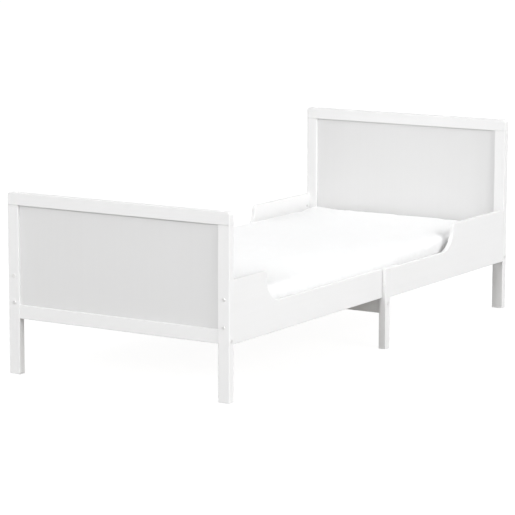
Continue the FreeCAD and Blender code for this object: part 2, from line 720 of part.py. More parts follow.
def make_bearer(name, side):
    """The fixed slat bearer from the crossbeam to the head's lower rail."""
    beam_top = "(beam_bottom + beam_height)"
    start = f"({LEG_MIDDLE} - beam_thickness / 2)"
    bearer = box(
        f"slat_bearer_{name}",
        (between(side, "bearer_inner", "bearer_inner + bearer_width"), start, beam_top),
        ("bearer_width", f"({RAIL_FACE} - {start})", f"(slat_seat - {beam_top})"),
    )
    soften(bearer, "edge_radius", runs_along("Y"))
    middle = f"{side} * {BEARER_MIDDLE}"
    cut(bearer, "Y", RAIL_FACE, [(middle, "bearer_bolt_level", "bolt_hole")], f"-{BOLT_DEPTH}")
    nut_y = f"({RAIL_FACE} - nut_setback)"
    bearer_face = f"{side} * bearer_inner"
    cut(bearer, "X", bearer_face, [(nut_y, "bearer_bolt_level", "nut_hole")], f"{side} * bearer_nut_depth")
    nut_x = f"{side} * (bearer_inner + bearer_nut_depth - nut_length / 2)"
    add_nut("head_barrel_nuts", (nut_x, nut_y, "bearer_bolt_level"), "+X", "+Y")
    length = f"(lower_rail_depth + {BOLT_DEPTH} - tip_play)"
    add_bolt("bearer_bolts", (middle, RAIL_BACK, "bearer_bolt_level"), "+Y", length)
    screw = (middle, LEG_MIDDLE, "screw_hole")
    head = (middle, LEG_MIDDLE, SCREW_HEAD_HOLE)
    cut(bearer, "Z", "slat_seat", [screw], f"-(slat_seat - {beam_top})")
    cut(bearer, "Z", "slat_seat", [head], f"-({SCREW_HEAD_SINK} + bearer_screw_recess)")
    screw_top = "(slat_seat - bearer_screw_recess)"
    screw_length = f"({screw_top} - {beam_top} + bearer_screw_sink - tip_play)"
    add_screw("bearer_screws", (middle, LEG_MIDDLE, screw_top), "+Z", screw_length)
    screw_y = "slat_end_centre"
    cut(bearer, "Z", "slat_seat", [(middle, screw_y, "screw_hole")], "-slat_screw_sink")
    add_slat_screw("head_slat_screws", middle, screw_y)


# ------------------------------------------------------------------ slats, straps, mattress


def make_slat(index):
    """One slat, counted from the foot. The first and the last are screwed down at both ends."""
    label = f"slat_{index + 1:02d}"
    centre = f"(-slat_end_centre + {index} * 2 * slat_end_centre / {SLAT_COUNT - 1})"
    slat = box(
        label,
        ("-slat_length / 2", f"{centre} - slat_width / 2", SLAT_BOTTOM),
        ("slat_length", "slat_width", "slat_thickness"),
    )
    soften(slat, "edge_radius", runs_along("X"))
    seats = {0: f"({LEDGE_INNER} + ledge_width / 2)", SLAT_COUNT - 1: BEARER_MIDDLE}
    if index in seats:
        spots = [f"{side} * {seats[index]}" for side in SIDES.values()]
        cut(slat, "Z", SLAT_TOP, [(x, centre, "screw_hole") for x in spots], "-slat_thickness")
        heads = [(x, centre, SCREW_HEAD_HOLE) for x in spots]
        cut(slat, "Z", SLAT_TOP, heads, f"-{SCREW_HEAD_SINK}")


def make_strap(name, side):
    """The webbing under the slats that ties them together and limits the pull-out."""
    half_length = "(slat_end_centre + strap_overhang)"
    box(
        f"slat_strap_{name}",
        (
            between(side, "strap_offset - strap_width / 2", "strap_offset + strap_width / 2"),
            f"-{half_length}",
            "slat_seat - strap_thickness",
        ),
        ("strap_width", f"2 * {half_length}", "strap_thickness"),
    )


def make_mattress():
    """The foam mattress at full length."""
    mattress = box(
        "mattress",
        ("-mattress_width / 2", "-mattress_length / 2", "mattress_bottom"),
        ("mattress_width", "mattress_length", "mattress_height"),
    )
    soften(mattress, "mattress_corner", runs_along("Z"))


def make_fitted_sheet():
    """The fitted sheet: a thin skin over the top and sides that turns in under the mattress."""
    grown = "2 * (sheet_play + sheet_thickness)"
    skirt = "(sheet_play + sheet_thickness)"
    skin = box(
        "fitted_sheet",
        (f"-mattress_width / 2 - {skirt}", f"-mattress_length / 2 - {skirt}", f"mattress_bottom - {skirt}"),
        (f"mattress_width + {grown}", f"mattress_length + {grown}", f"mattress_height + {grown}"),
    )
    soften(skin, "mattress_corner", runs_along("Z"))
    inner_low = ("-mattress_width / 2 - sheet_play", "-mattress_length / 2 - sheet_play")
    inner_high = ("mattress_width / 2 + sheet_play", "mattress_length / 2 + sheet_play")
    opening_low = tuple(f"{edge} + sheet_turn_under" for edge in inner_low)
    opening_high = tuple(f"{edge} - sheet_turn_under" for edge in inner_high)
    hollow = box(
        "sheet_hollow",
        (inner_low[0], inner_low[1], "mattress_bottom - sheet_play"),
        (
            "mattress_width + 2 * sheet_play",
            "mattress_length + 2 * sheet_play",
            "mattress_height + 2 * sheet_play",
        ),
    )
    soften(hollow, "mattress_corner - sheet_thickness", runs_along("Z"))
    cut(skin, "Z", f"mattress_bottom - {skirt}", [(opening_low, opening_high)], "sheet_thickness + 0.2")
    shell = subtract(skin, hollow)
    shell.Label = "fitted_sheet"
    skin.Label = "sheet_block"
    del parts["sheet_hollow"]
    parts["fitted_sheet"] = shell


# ------------------------------------------------------------------ assembly

for where, end in ENDS.items():
    for name, side in SIDES.items():
        make_post(where, end, name, side)
    make_top_rail(where, end)
    make_lower_rail(where, end)
    make_panel(where, end)
for name, side in SIDES.items():
    make_foot_side(name, side)
    make_head_side(name, side)
    make_strap(name, side)
make_crossbeam()
for index in range(SLAT_COUNT):
    make_slat(index)
make_mattress()
make_fitted_sheet()

for label, pieces in hardware.items():
    group = doc.addObject("Part::Compound", label)
    group.Links = pieces
    group.Label = label
    parts[label] = group

doc.recompute()

# ------------------------------------------------------------------ tests and files

for thing in doc.Objects:
    if "Invalid" in thing.State or "Error" in thing.State:
        raise RuntimeError(f"{thing.Label} failed: {thing.State}")
for label, piece in parts.items():
    shape = piece.Shape
    if shape.isNull() or not shape.isValid() or not shape.Solids:
        raise RuntimeError(f"{label} has no sound shape")
for label, piece in parts.items():
    piece.Shape.exportStep(f"parts/{label}.step")
print(len(parts), "nodes written")
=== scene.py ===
import json
import math

import bpy
import numpy as np
from mathutils import Euler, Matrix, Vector, noise


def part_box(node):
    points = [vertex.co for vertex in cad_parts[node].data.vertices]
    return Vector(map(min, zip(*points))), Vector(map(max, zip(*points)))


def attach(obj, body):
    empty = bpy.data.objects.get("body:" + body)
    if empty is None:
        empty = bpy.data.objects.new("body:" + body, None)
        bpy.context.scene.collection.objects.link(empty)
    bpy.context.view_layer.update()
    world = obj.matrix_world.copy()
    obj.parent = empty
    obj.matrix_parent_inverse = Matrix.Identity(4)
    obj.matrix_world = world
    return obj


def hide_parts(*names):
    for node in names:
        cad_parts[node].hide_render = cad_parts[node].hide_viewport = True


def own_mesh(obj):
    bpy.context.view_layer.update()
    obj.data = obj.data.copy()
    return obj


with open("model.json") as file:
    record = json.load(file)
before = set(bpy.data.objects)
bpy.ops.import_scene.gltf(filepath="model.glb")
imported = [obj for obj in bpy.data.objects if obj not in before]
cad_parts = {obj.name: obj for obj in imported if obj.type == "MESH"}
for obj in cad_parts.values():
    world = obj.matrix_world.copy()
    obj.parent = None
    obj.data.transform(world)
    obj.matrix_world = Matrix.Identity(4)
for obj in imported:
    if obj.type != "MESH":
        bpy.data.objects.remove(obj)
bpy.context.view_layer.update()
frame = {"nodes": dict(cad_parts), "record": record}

# The bed stands on the floor with +Y towards its head, and all sizes are metres.
HEAD = "head_section"

# ------------------------------------------------------------------ nodes, a short way to write them


def new_material(name):
    """An empty material: its node tree and its one principled shader."""
    material = bpy.data.materials.new(name)
    material.use_nodes = True
    tree = material.node_tree
    tree.nodes.clear()
    out = tree.nodes.new("ShaderNodeOutputMaterial")
    shader = tree.nodes.new("ShaderNodeBsdfPrincipled")
    tree.links.new(shader.outputs["BSDF"], out.inputs["Surface"])
    return material, tree, shader


def node(tree, kind, inputs, output=0, **settings):
    """Adds a node, gives its sockets numbers or other nodes' outputs, and returns one output."""
    made = tree.nodes.new("ShaderNode" + kind)
    for key, setting in settings.items():
        setattr(made, key, setting)
    for key, what in inputs.items():
        if isinstance(what, bpy.types.NodeSocket):
            tree.links.new(what, made.inputs[key])
        else:
            made.inputs[key].default_value = what
    return made.outputs[output]


def own_place(tree):
    """The point on the piece, in metres, which moves along with it."""
    return node(tree, "TexCoord", {}, "Object")


def stretched(tree, place, scale):
    """The place with each axis multiplied by its scale, so that a small scale draws a pattern out."""
    return node(tree, "Mapping", {"Vector": place, "Scale": scale})


def clouds(tree, place, per_metre, detail=3.0, roughness=0.5, distortion=0.0):
    """Soft noise from 0 to 1."""
    sockets = {"Vector": place, "Scale": per_metre, "Detail": detail, "Roughness": roughness}
    sockets["Distortion"] = distortion
    return node(tree, "TexNoise", sockets, "Fac")


def ranged(tree, fac, low, high, start=0.0, end=1.0):
    """The factor from start to end, turned into low to high."""
    sockets = {"Value": fac, "From Min": start, "From Max": end, "To Min": low, "To Max": high}
    return node(tree, "MapRange", sockets)


def mixed(tree, fac, first, second):
    """A colour between two colours."""
    return node(tree, "Mix", {"Factor": fac, 6: first, 7: second}, 2, data_type="RGBA")


def sum_of(tree, first, second, operation="ADD"):
    """The sum of two values, or what another operation makes of them."""
    return node(tree, "Math", {0: first, 1: second}, operation=operation)


def bumped(tree, height, depth, strength=1.0, normal=None):
    """A normal that follows the height, whose full range is depth metres."""
    sockets = {"Height": height, "Distance": depth, "Strength": strength}
    if normal is not None:
        sockets["Normal"] = normal
    return node(tree, "Bump", sockets)


def grey(level, warmth=0.0):
    """A linear grey with a little warmth."""
    return (level * (1 + warmth), level, level * (1 - warmth), 1.0)


# ------------------------------------------------------------------ hard materials

ALONG = {"X": (0.035, 1.0, 1.0), "Y": (1.0, 0.035, 1.0), "Z": (1.0, 1.0, 0.035)}
EDGE_SOFTNESS = 0.0016
GLOSS_SPREAD = 0.03


def lacquer(name, level, grain, gloss, relief):
    """White satin lacquer on wood: the grain just shows through, and the edges get painted shade and a little
    more roughness.
    """
    material, tree, shader = new_material(name)
    place = own_place(tree)
    fibres = stretched(tree, place, ALONG[grain])
    patches = clouds(tree, place, 2.2, detail=2.0)
    figure = clouds(tree, fibres, 55.0, detail=4.0, distortion=0.6)
    pores = clouds(tree, fibres, 620.0, detail=3.0, roughness=0.65)
    peel = clouds(tree, place, 420.0, detail=1.0)
    specks = clouds(tree, place, 1500.0, detail=0.0)
    bevelled = node(tree, "Bevel", {"Radius": EDGE_SOFTNESS}, samples=4)
    faced = node(tree, "NewGeometry", {}, "Normal")
    turned = node(tree, "VectorMath", {0: bevelled, 1: faced}, "Value", operation="DOT_PRODUCT")
    edge = ranged(tree, turned, 1.0, 0.0, 0.75, 0.995)
    body = mixed(tree, patches, grey(level * 0.985, 0.002), grey(level * 1.012, 0.0))
    body = mixed(tree, ranged(tree, figure, 0.0, 0.35, 0.45, 0.75), body, grey(level * 0.975, 0.004))
    body = mixed(tree, ranged(tree, specks, 0.0, 0.25, 0.62, 0.8), body, grey(level * 0.95, 0.004))
    # Painted shade: the colour turns darker along the edges.
    body = mixed(tree, ranged(tree, edge, 0.0, 0.8), body, grey(level * 0.84, 0.006))
    tree.links.new(body, shader.inputs["Base Color"])
    uneven = ranged(tree, patches, gloss - GLOSS_SPREAD, gloss + GLOSS_SPREAD)
    uneven = sum_of(tree, ranged(tree, figure, -GLOSS_SPREAD, GLOSS_SPREAD), uneven)
    roughness_with_edges = sum_of(tree, uneven, ranged(tree, edge, 0.0, 0.10))
    tree.links.new(roughness_with_edges, shader.inputs["Roughness"])
    normal = bumped(tree, figure, 0.00012 * relief, normal=bevelled)
    normal = bumped(tree, pores, 0.00005 * relief, normal=normal)
    normal = bumped(tree, peel, 0.00003, normal=normal)
    tree.links.new(normal, shader.inputs["Normal"])
    shader.inputs["IOR"].default_value = 1.46
    return material


def softwood(name, pale, dark, rings_per_metre, grain="X"):
    """Planed pine or beech: growth rings drawn out along the grain, fine pores and a few knots."""
    material, tree, shader = new_material(name)
    place = own_place(tree)
    fibres = stretched(tree, place, ALONG[grain])
    bend = clouds(tree, stretched(tree, place, (0.35, 1.0, 1.0)), 5.0, detail=2.0)
    knots = node(
        tree,
        "TexVoronoi",
        {"Vector": stretched(tree, place, (0.45, 1.0, 0.25)), "Scale": 4.2, "Randomness": 1.0},
        "Distance",
    )
    near_knot = ranged(tree, knots, 1.0, 0.0, 0.02, 0.16)
    pull = sum_of(tree, sum_of(tree, bend, 0.22, "MULTIPLY"), sum_of(tree, near_knot, 0.05, "MULTIPLY"))
    parted = node(tree, "SeparateXYZ", {"Vector": place}, "Y")
    across = sum_of(tree, parted, pull)
    rings = node(tree, "Math", {0: sum_of(tree, across, rings_per_metre, "MULTIPLY")}, operation="FRACT")
    late = ranged(tree, rings, 0.0, 1.0, 0.35, 0.95)
    pores = clouds(tree, fibres, 900.0, detail=3.0, roughness=0.7)
    tone = clouds(tree, place, 3.0, detail=2.0)
    body = mixed(tree, sum_of(tree, late, 0.55, "MULTIPLY"), pale, dark)
    body = mixed(tree, ranged(tree, pores, 0.0, 0.35, 0.4, 0.8), body, dark)
    brown = (dark[0] * 0.45, dark[1] * 0.38, dark[2] * 0.33, 1.0)
    body = mixed(tree, ranged(tree, knots, 0.85, 0.0, 0.015, 0.05), body, brown)
    lighter = tuple(min(1.0, channel * 1.08) for channel in pale[:3]) + (1.0,)
    body = mixed(tree, ranged(tree, tone, 0.0, 0.4, 0.4, 0.8), body, lighter)
    tree.links.new(body, shader.inputs["Base Color"])
    tree.links.new(ranged(tree, late, 0.62, 0.48), shader.inputs["Roughness"])
    normal = bumped(tree, late, 0.00005)
    normal = bumped(tree, pores, 0.00012, normal=normal)
    tree.links.new(normal, shader.inputs["Normal"])
    return material


def plated(name, level, gloss, bare):
    """Plated steel: fine turning marks, a mottled bloom and dull spots. The less bare, the milkier."""
    material, tree, shader = new_material(name)
    place = own_place(tree)
    bloom = clouds(tree, place, 260.0, detail=3.0)
    marks = clouds(tree, place, 2600.0, detail=2.0, roughness=0.7)
    shader.inputs["Metallic"].default_value = bare
    body = mixed(tree, bloom, grey(level * 0.86, 0.012), grey(level * 1.1, 0.0))
    body = mixed(tree, ranged(tree, marks, 0.0, 0.35, 0.5, 0.8), body, grey(level * 0.7))
    tree.links.new(body, shader.inputs["Base Color"])
    tree.links.new(ranged(tree, bloom, gloss - 0.08, gloss + 0.12), shader.inputs["Roughness"])
    tree.links.new(bumped(tree, marks, 0.00003), shader.inputs["Normal"])
    return material


# ------------------------------------------------------------------ cloth materials


def thread_rows(tree, cloth, threads_per_metre):
    """Plain weave: two crossed sets of threads that pass over and under each other."""
    rows = []
    for axis in ("X", "Y"):
        along = node(tree, "SeparateXYZ", {"Vector": cloth}, axis)
        wave = node(
            tree,
            "Math",
            {0: sum_of(tree, along, threads_per_metre * math.pi, "MULTIPLY")},
            operation="SINE",
        )
        rows.append(sum_of(tree, wave, wave, "MULTIPLY"))
    return node(tree, "Math", {0: rows[0], 1: rows[1]}, operation="MAXIMUM")


def woven(name, colour, shade, threads_per_metre, depth, slubs, sheen):
    """Woven cloth: threads with painted shade in the gaps between them, slubs along them, soft unevenness and
    a fuzzy sheen.
    """
    material, tree, shader = new_material(name)
    cloth = node(tree, "UVMap", {}, uv_map="cloth")
    weave = thread_rows(tree, cloth, threads_per_metre)
    warp = clouds(tree, stretched(tree, cloth, (1.0, 0.05, 1.0)), slubs, detail=3.0)
    weft = clouds(tree, stretched(tree, cloth, (0.05, 1.0, 1.0)), slubs, detail=3.0)
    yarn = sum_of(tree, warp, weft, "MULTIPLY")
    soft = clouds(tree, cloth, 6.0, detail=2.0)
    body = mixed(tree, ranged(tree, yarn, 0.0, 0.6, 0.1, 0.45), shade, colour)
    body = mixed(tree, ranged(tree, soft, 0.0, 0.5, 0.3, 0.8), body, colour)
    # Painted shade: the gaps between the threads are darker.
    body = mixed(tree, ranged(tree, weave, 0.35, 0.0, 0.2, 0.8), body, shade)
    tree.links.new(body, shader.inputs["Base Color"])
    tree.links.new(ranged(tree, yarn, 0.92, 0.8), shader.inputs["Roughness"])
    normal = bumped(tree, yarn, 0.0002)
    normal = bumped(tree, weave, depth, normal=normal)
    tree.links.new(normal, shader.inputs["Normal"])
    shader.inputs["Sheen Weight"].default_value = sheen
    shader.inputs["Sheen Roughness"].default_value = 0.4
    return material


def knitted(name, colour, shade):
    """Knitted mattress ticking with a small quilted diamond, whose valleys are darkened as painted shade."""
    material, tree, shader = new_material(name)
    cloth = node(tree, "UVMap", {}, uv_map="cloth")
    turned = node(tree, "Mapping", {"Vector": cloth, "Rotation": (0.0, 0.0, math.radians(45))})
    quilt = thread_rows(tree, turned, 36.0)
    loops = thread_rows(tree, stretched(tree, cloth, (1.0, 0.6, 1.0)), 900.0)
    soft = clouds(tree, cloth, 9.0)
    # Painted shade: the quilted valleys are darker.
    body = mixed(tree, ranged(tree, quilt, 0.5, 0.0, 0.0, 0.6), colour, shade)
    body = mixed(tree, ranged(tree, soft, 0.0, 0.35, 0.3, 0.8), body, shade)
    tree.links.new(body, shader.inputs["Base Color"])
    tree.links.new(ranged(tree, soft, 0.85, 0.95), shader.inputs["Roughness"])
    normal = bumped(tree, quilt, 0.0012)
    normal = bumped(tree, loops, 0.0002, normal=normal)
    tree.links.new(normal, shader.inputs["Normal"])
    shader.inputs["Sheen Weight"].default_value = 0.2
    return material


# ------------------------------------------------------------------ finishes on the CAD nodes

FRAME_WHITE = 0.82
PANEL_WHITE = 0.71
wood = {axis: lacquer(f"lacquer_{axis}", FRAME_WHITE, axis, 0.36, 1.0) for axis in ALONG}
panel_board = lacquer("lacquer_panel", PANEL_WHITE, "Z", 0.30, 0.35)
pine = softwood("planed_pine", (0.80, 0.67, 0.48, 1.0), (0.66, 0.49, 0.30, 1.0), 150.0)
beech = softwood("plain_beech", (0.70, 0.49, 0.31, 1.0), (0.58, 0.37, 0.22, 1.0), 600.0)
nickel = plated("nickel_plate", 0.90, 0.42, 0.75)
zinc = plated("zinc_plate", 0.62, 0.38, 1.0)

SLOT_FINISH = {
    "painted_panel": panel_board,
    "slat_wood": pine,
    "dowel_wood": beech,
    "bolt_steel": nickel,
    "zinc_steel": zinc,
}
slot_of = {row["node"]: row["material_slot"] for row in frame["record"]["subparts"]}


def grain_of(name):
    """The axis that a painted piece's grain runs along: its longest."""
    low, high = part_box(name)
    size = high - low
    return "XYZ"[max(range(3), key=lambda axis: size[axis])]


for name, piece in frame["nodes"].items():
    finish = SLOT_FINISH.get(slot_of[name]) or wood[grain_of(name)]
    piece.data.materials.clear()
    piece.data.materials.append(finish)

# ------------------------------------------------------------------ cloth meshes


def box_skin(low, high, cell):
    """A box's skin in nearly square cells: its points, its quads, and each quad's place on the flat cloth.

    The flat cloth's origin is the middle of the top, and the sides and the bottom fold out from it."""
    size = high - low
    counts = [max(2, round(side / cell)) for side in size]
    points, index, quads, flat = [], {}, [], []

    def corner(key):
        if key not in index:
            index[key] = len(points)
            points.append([low[i] + size[i] * key[i] / counts[i] for i in range(3)])
        return index[key]

    def fold(key, face):
        x, y, z = (low[i] + size[i] * key[i] / counts[i] for i in range(3))
        down = high[2] - z
        if face == "bottom":
            out = min(x - low[0], high[0] - x), min(y - low[1], high[1] - y)
            if out[0] < out[1]:
                return (math.copysign(high[0] + down + out[0], x), y)
            return (x, math.copysign(high[1] + down + out[1], y))
        if face == "side_x":
            return (x + math.copysign(down, x), y)
        if face == "side_y":
            return (x, y + math.copysign(down, y))
        return (x, y)

    def add(keys, face):
        quads.append([corner(key) for key in keys])
        flat.append([fold(key, face) for key in keys])

    nx, ny, nz = counts
    for i in range(nx):
        for j in range(ny):
            add([(i, j, nz), (i + 1, j, nz), (i + 1, j + 1, nz), (i, j + 1, nz)], "top")
            add([(i, j + 1, 0), (i + 1, j + 1, 0), (i + 1, j, 0), (i, j, 0)], "bottom")
    for k in range(nz):
        for i in range(nx):
            add([(i, 0, k), (i + 1, 0, k), (i + 1, 0, k + 1), (i, 0, k + 1)], "side_y")
            add([(i + 1, ny, k), (i, ny, k), (i, ny, k + 1), (i + 1, ny, k + 1)], "side_y")
        for j in range(ny):
            add([(nx, j, k), (nx, j + 1, k), (nx, j + 1, k + 1), (nx, j, k + 1)], "side_x")
            add([(0, j + 1, k), (0, j, k), (0, j, k + 1), (0, j + 1, k + 1)], "side_x")
    return np.array(points), np.array(quads), np.array(flat)


def rounded(points, low, high, radius):
    """Moves a box skin's points onto the same box with rounded edges and corners."""
    core = np.clip(points, np.array(low) + radius, np.array(high) - radius)
    out = points - core
    return core + out * (radius / np.linalg.norm(out, axis=1))[:, None]


def cloth_mesh(name, points, quads, flat, material):
    """A smooth-shaded object whose UV map, named cloth, is the flat cloth in metres."""
    mesh = bpy.data.meshes.new(name)
    mesh.from_pydata(points.tolist(), [], quads.tolist())
    layer = mesh.uv_layers.new(name="cloth")
    layer.data.foreach_set("uv", np.asarray(flat, float).reshape(-1))
    mesh.polygons.foreach_set("use_smooth", [True] * len(mesh.polygons))
    mesh.materials.append(material)
    piece = bpy.data.objects.new(name, mesh)
    bpy.context.scene.collection.objects.link(piece)
    return piece


def normals_of(points, quads):
    """The outward normal at each point."""
    a, b, c, d = (points[quads[:, i]] for i in range(4))
    faces = np.cross(c - a, d - b)
    total = np.zeros_like(points)
    for i in range(4):
        np.add.at(total, quads[:, i], faces)
    return total / np.maximum(np.linalg.norm(total, axis=1), 1e-12)[:, None]


def simulated(points, quads, frames, settings, groups):
    """The points after Blender's cloth simulation, with gravity off. groups maps a setting to weights."""
    mesh = bpy.data.meshes.new("simulation")
    mesh.from_pydata(points.tolist(), [], quads.tolist())
    piece = bpy.data.objects.new("simulation", mesh)
    bpy.context.scene.collection.objects.link(piece)
    cloth = piece.modifiers.new("cloth", "CLOTH")
    for setting, weights in groups.items():
        group = piece.vertex_groups.new(name=setting)
        for level in np.unique(weights):
            group.add(np.flatnonzero(weights == level).tolist(), float(level), "REPLACE")
        setattr(cloth.settings, setting, setting)
    for setting, number in settings.items():
        setattr(cloth.settings, setting, number)
    cloth.settings.effector_weights.gravity = 0.0
    cloth.point_cache.frame_end = frames
    scene = bpy.context.scene
    for number in range(1, frames + 1):
        scene.frame_set(number)
    shaped = piece.evaluated_get(bpy.context.evaluated_depsgraph_get()).data
    moved = np.zeros(len(points) * 3)
    shaped.vertices.foreach_get("co", moved)
    bpy.data.objects.remove(piece)
    scene.frame_set(1)
    return moved.reshape(-1, 3)


def capped(move, limit):
    """The moves, shortened smoothly so that none is longer than the limit."""
    length = np.linalg.norm(move, axis=1)
    share = limit * np.tanh(length / limit) / np.maximum(length, 1e-12)
    return move * share[:, None]


def eased(value, start, end):
    """0 before start, 1 after end, and smooth between."""
    step = np.clip((value - start) / (end - start), 0, 1)
    return step * step * (3 - 2 * step)


def subdivided(piece, levels):
    """Smooths the piece by subdividing its faces."""
    modifier = piece.modifiers.new("smooth", "SUBSURF")
    modifier.levels = modifier.render_levels = levels
    apply(piece, modifier)


def apply(piece, modifier):
    """Makes the modifier's result the piece's own mesh."""
    with bpy.context.temp_override(object=piece, active_object=piece, selected_objects=[piece]):
        bpy.ops.object.modifier_apply(modifier=modifier.name)


# ------------------------------------------------------------------ mattress and fitted sheet

CLOTH_CELL = 0.0105
MATTRESS_SWELL = 0.006
EDGE_RADIUS = 0.021
BOTTOM_DEPTH = 0.002
MATTRESS_FRAMES = 16

SHEET_THICKNESS = 0.0009
SHEET_GAP = 0.0016
SHEET_CLEARANCE = 0.0005
SHEET_FRAMES = 24
# The sheet's lift is never more than this, and counts from the height that this percentage of it stays below.
SHEET_LIFT = 0.004
LYING_PERCENT = 30
ABOVE_THE_BED = 1.0

# The sheet is loosest at its corners, then along its edges. Each band is where the looseness wears off.
EDGE_LOOSENESS = 0.55
EDGE_LOOSE_BAND = (0.02, 0.22)
CORNER_LOOSE_BAND = (0.05, 0.40)
LEAST_LOOSENESS = 0.18
WAVER_PER_METRE = 3.1
WAVER_SHARE = 0.9
WAVER_NUDGE = 0.0004

# How firmly the simulation holds each point of the sheet: more where it is taut, and most low on its sides.
HOLD = 0.10
HOLD_TAUT = 0.10
HOLD_LOW = 0.25
LOW_BAND = (0.06, 0.10)

# The elastic hem turns under the mattress, dents it and puckers.
TURN_UNDER = 0.110
HEM_WIDTH = 0.04
HEM_DENT = 0.003
DENT_FADE = 0.03
UNDERNEATH = HEM_DENT + 0.003
PUCKERS_PER_METRE = 45.0
PUCKER_MEAN = 0.0007
PUCKER_DEPTH = 0.0020

core_low, core_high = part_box("mattress")
# The sliding boards, the posts and the slats leave this much room for the sheet's inner face.
sheet_margin = SHEET_CLEARANCE + SHEET_THICKNESS
room_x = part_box("foot_side_board_right")[0].x - sheet_margin
room_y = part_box("head_post_right")[0].y - sheet_margin
room_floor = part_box("slat_01")[1].z + sheet_margin
ticking = knitted("knitted_ticking", grey(0.80, 0.012), grey(0.70, 0.02))
cotton = woven("white_cotton", grey(0.90, -0.003), grey(0.87, -0.002), 2400.0, 0.00008, 160.0, 0.15)


def within(points, gap):
    """The points, kept inside the room for the sheet by the gap."""
    highest = np.array([room_x, room_y, ABOVE_THE_BED]) - gap
    lowest = np.array([-room_x, -room_y, room_floor]) + gap
    return np.clip(points, lowest, highest)


def make_mattress():
    """A foam mattress in knitted ticking: crowned, with sides that swell between its corners."""
    half_swell = MATTRESS_SWELL / 2
    low = core_low + Vector((half_swell, half_swell, 0.0))
    high = core_high - Vector((half_swell, half_swell, MATTRESS_SWELL))
    points, quads, flat = box_skin(low, high, CLOTH_CELL)
    start = rounded(points, low, high, EDGE_RADIUS)
    flat_bottom = np.where(start[:, 2] < low.z + BOTTOM_DEPTH, 1.0, 0.0)
    settings = {
        "quality": 4,
        "mass": 0.4,
        "tension_stiffness": 30,
        "compression_stiffness": 30,
        "bending_stiffness": 2.0,
        "use_pressure": True,
        "uniform_pressure_force": 3.0,
    }
    moved = simulated(start, quads, MATTRESS_FRAMES, settings, {"vertex_group_mass": flat_bottom})
    moved = start + capped(moved - start, MATTRESS_SWELL)
    from_edge = np.minimum(np.array(high.xy) - start[:, :2], start[:, :2] - np.array(low.xy)).min(axis=1)
    bottom = 1 - eased(start[:, 2], low.z, low.z + EDGE_RADIUS)
    moved[:, 2] += HEM_DENT * bottom * (1 - eased(from_edge, TURN_UNDER, TURN_UNDER + DENT_FADE))
    moved = within(moved, SHEET_GAP)
    piece = cloth_mesh("mattress_core", moved, quads, flat, ticking)
    return piece, moved, quads, flat


mattress, skin, skin_quads, skin_flat = make_mattress()


def sheet_quads(low, high):
    """The quads of the mattress's skin that the fitted sheet covers."""
    middle = skin[skin_quads].mean(axis=1)
    below = middle[:, 2] < low.z + UNDERNEATH
    reach = np.minimum(
        np.minimum(middle[:, 0] - low.x, high.x - middle[:, 0]),
        np.minimum(middle[:, 1] - low.y, high.y - middle[:, 1]),
    )
    return ~(below & (reach > TURN_UNDER))


def make_sheet():
    """A fitted sheet: taut on top, softly creased at the edges and corners, puckered by its elastic."""
    low, high = core_low, core_high
    covered = sheet_quads(low, high)
    quads, flat = skin_quads[covered], skin_flat[covered]
    used, quads = np.unique(quads, return_inverse=True)
    quads = quads.reshape(-1, 4)
    outward = normals_of(skin, skin_quads)[used]
    start = skin[used] + outward * SHEET_GAP
    from_end = np.minimum(start[:, 1] - low.y, high.y - start[:, 1])
    from_side = np.minimum(start[:, 0] - low.x, high.x - start[:, 0])
    from_edge = np.minimum(from_end, from_side)
    from_corner = np.hypot(from_end, from_side)
    below = eased(high.z - start[:, 2], *LOW_BAND)
    edge_looseness = EDGE_LOOSENESS * (1 - eased(from_edge, *EDGE_LOOSE_BAND))
    corner_looseness = 1 - eased(from_corner, *CORNER_LOOSE_BAND)
    looseness = np.maximum(np.maximum(edge_looseness, corner_looseness), LEAST_LOOSENESS)
    waver = np.array([noise.noise(Vector(point) * WAVER_PER_METRE) for point in start])
    looseness = np.clip(looseness * (1 + WAVER_SHARE * waver), 0.0, 1.0)
    hold = np.round(HOLD + HOLD_TAUT * (1 - looseness) + HOLD_LOW * below, 2)
    shrink = np.round(1 - looseness, 2)
    settings = {
        "quality": 5,
        "mass": 0.2,
        "tension_stiffness": 25,
        "compression_stiffness": 25,
        "bending_stiffness": 0.15,
        "pin_stiffness": 1.0,
        "shrink_min": -0.035,
        "shrink_max": 0.0,
    }
    groups = {"vertex_group_mass": hold, "vertex_group_shrink": shrink}
    nudged = start + outward * (WAVER_NUDGE * waver)[:, None]
    moved = simulated(nudged, quads, SHEET_FRAMES, settings, groups)
    lift = ((moved - start) * outward).sum(axis=1)
    lift = np.maximum(lift - np.percentile(lift, LYING_PERCENT), -SHEET_GAP / 2)
    moved = start + outward * (SHEET_LIFT * np.tanh(lift / SHEET_LIFT))[:, None]
    hem = eased(from_edge, TURN_UNDER - HEM_WIDTH, TURN_UNDER) * (start[:, 2] < low.z + UNDERNEATH)
    pucker = np.array([noise.noise(Vector((x, y, 0.0)) * PUCKERS_PER_METRE) for x, y in start[:, :2]])
    moved = within(moved + outward * (hem * (PUCKER_MEAN + PUCKER_DEPTH * pucker))[:, None], 0.0)
    return cloth_mesh("bed_sheet", moved, quads, flat, cotton)


sheet = make_sheet()
for piece in (mattress, sheet):
    subdivided(piece, 1)
thickness = sheet.modifiers.new("thickness", "SOLIDIFY")
thickness.thickness = SHEET_THICKNESS
thickness.offset = 1.0
apply(sheet, thickness)


def shortened(piece):
    """The piece rides on the head section."""
    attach(piece, HEAD)
    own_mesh(piece)


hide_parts("mattress")
shortened(mattress)

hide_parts("fitted_sheet")
shortened(sheet)

# ------------------------------------------------------------------ webbing straps under the slats

SLAT_COUNT = 16
STRAP_SAG = 0.0035
STRAP_CROWN = 0.0002
STRAP_SLACK = 0.0003
STRAP_ROWS = SLAT_COUNT * 24
STRAP_COLUMNS = 7
webbing = woven("webbing_weave", grey(0.70, 0.03), grey(0.55, 0.04), 700.0, 0.0003, 120.0, 0.1)


